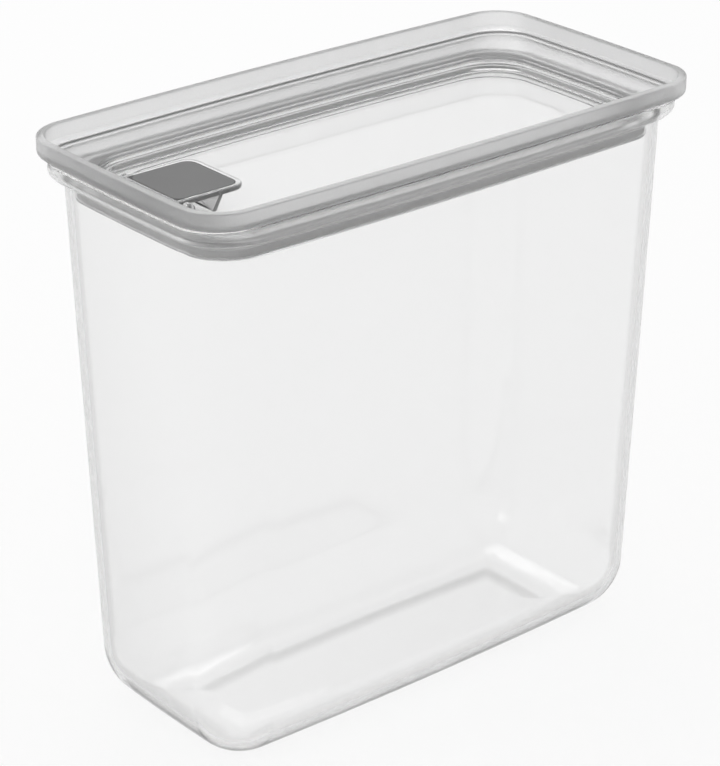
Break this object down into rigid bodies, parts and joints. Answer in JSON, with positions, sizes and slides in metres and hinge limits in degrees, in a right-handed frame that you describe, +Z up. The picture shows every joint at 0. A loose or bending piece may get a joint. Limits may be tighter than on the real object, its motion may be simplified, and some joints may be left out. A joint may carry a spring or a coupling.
{
  "type": "cereal container with flip lever lid",
  "caption": "Tall clear rectangular food container with a frosted rimmed lid, a sunken clear tray and a grey flip lever over a small vent.",
  "frame": {"origin": "middle of the tub's underside, on the plane that it stands on", "axes": "+X along the container's length, away from the lever; +Y across its width; +Z up"},
  "size_m": [0.22, 0.1104, 0.2161],
  "materials": {
    "clear_plastic": "polished, clear",
    "frosted_plastic": "frosted, translucent",
    "grey_silicone": "soft, satin",
    "grey_plastic": "satin",
    "steel": "plain"
  },
  "bodies": {
    "tub": {"tub": "clear_plastic"},
    "lid": {"lid_frame": "frosted_plastic", "lid_tray": "clear_plastic", "lid_gasket": "grey_silicone", "hinge_pin": "steel"},
    "lever": {"flip_lever": "clear_plastic", "lever_cover": "grey_plastic", "vent_stopper": "grey_silicone"}
  },
  "joints": [
    {"name": "lid_lift", "type": "slide", "parent": "tub", "child": "lid", "axis": [0, 0, 1], "range_m": [0, 0.04]},
    {"name": "lever_flip", "type": "hinge", "parent": "lid", "child": "lever", "pos_m": [-0.0913, 0, 0.2048], "axis": [0, -1, 0], "range_deg": [0, 95]}
  ]
}
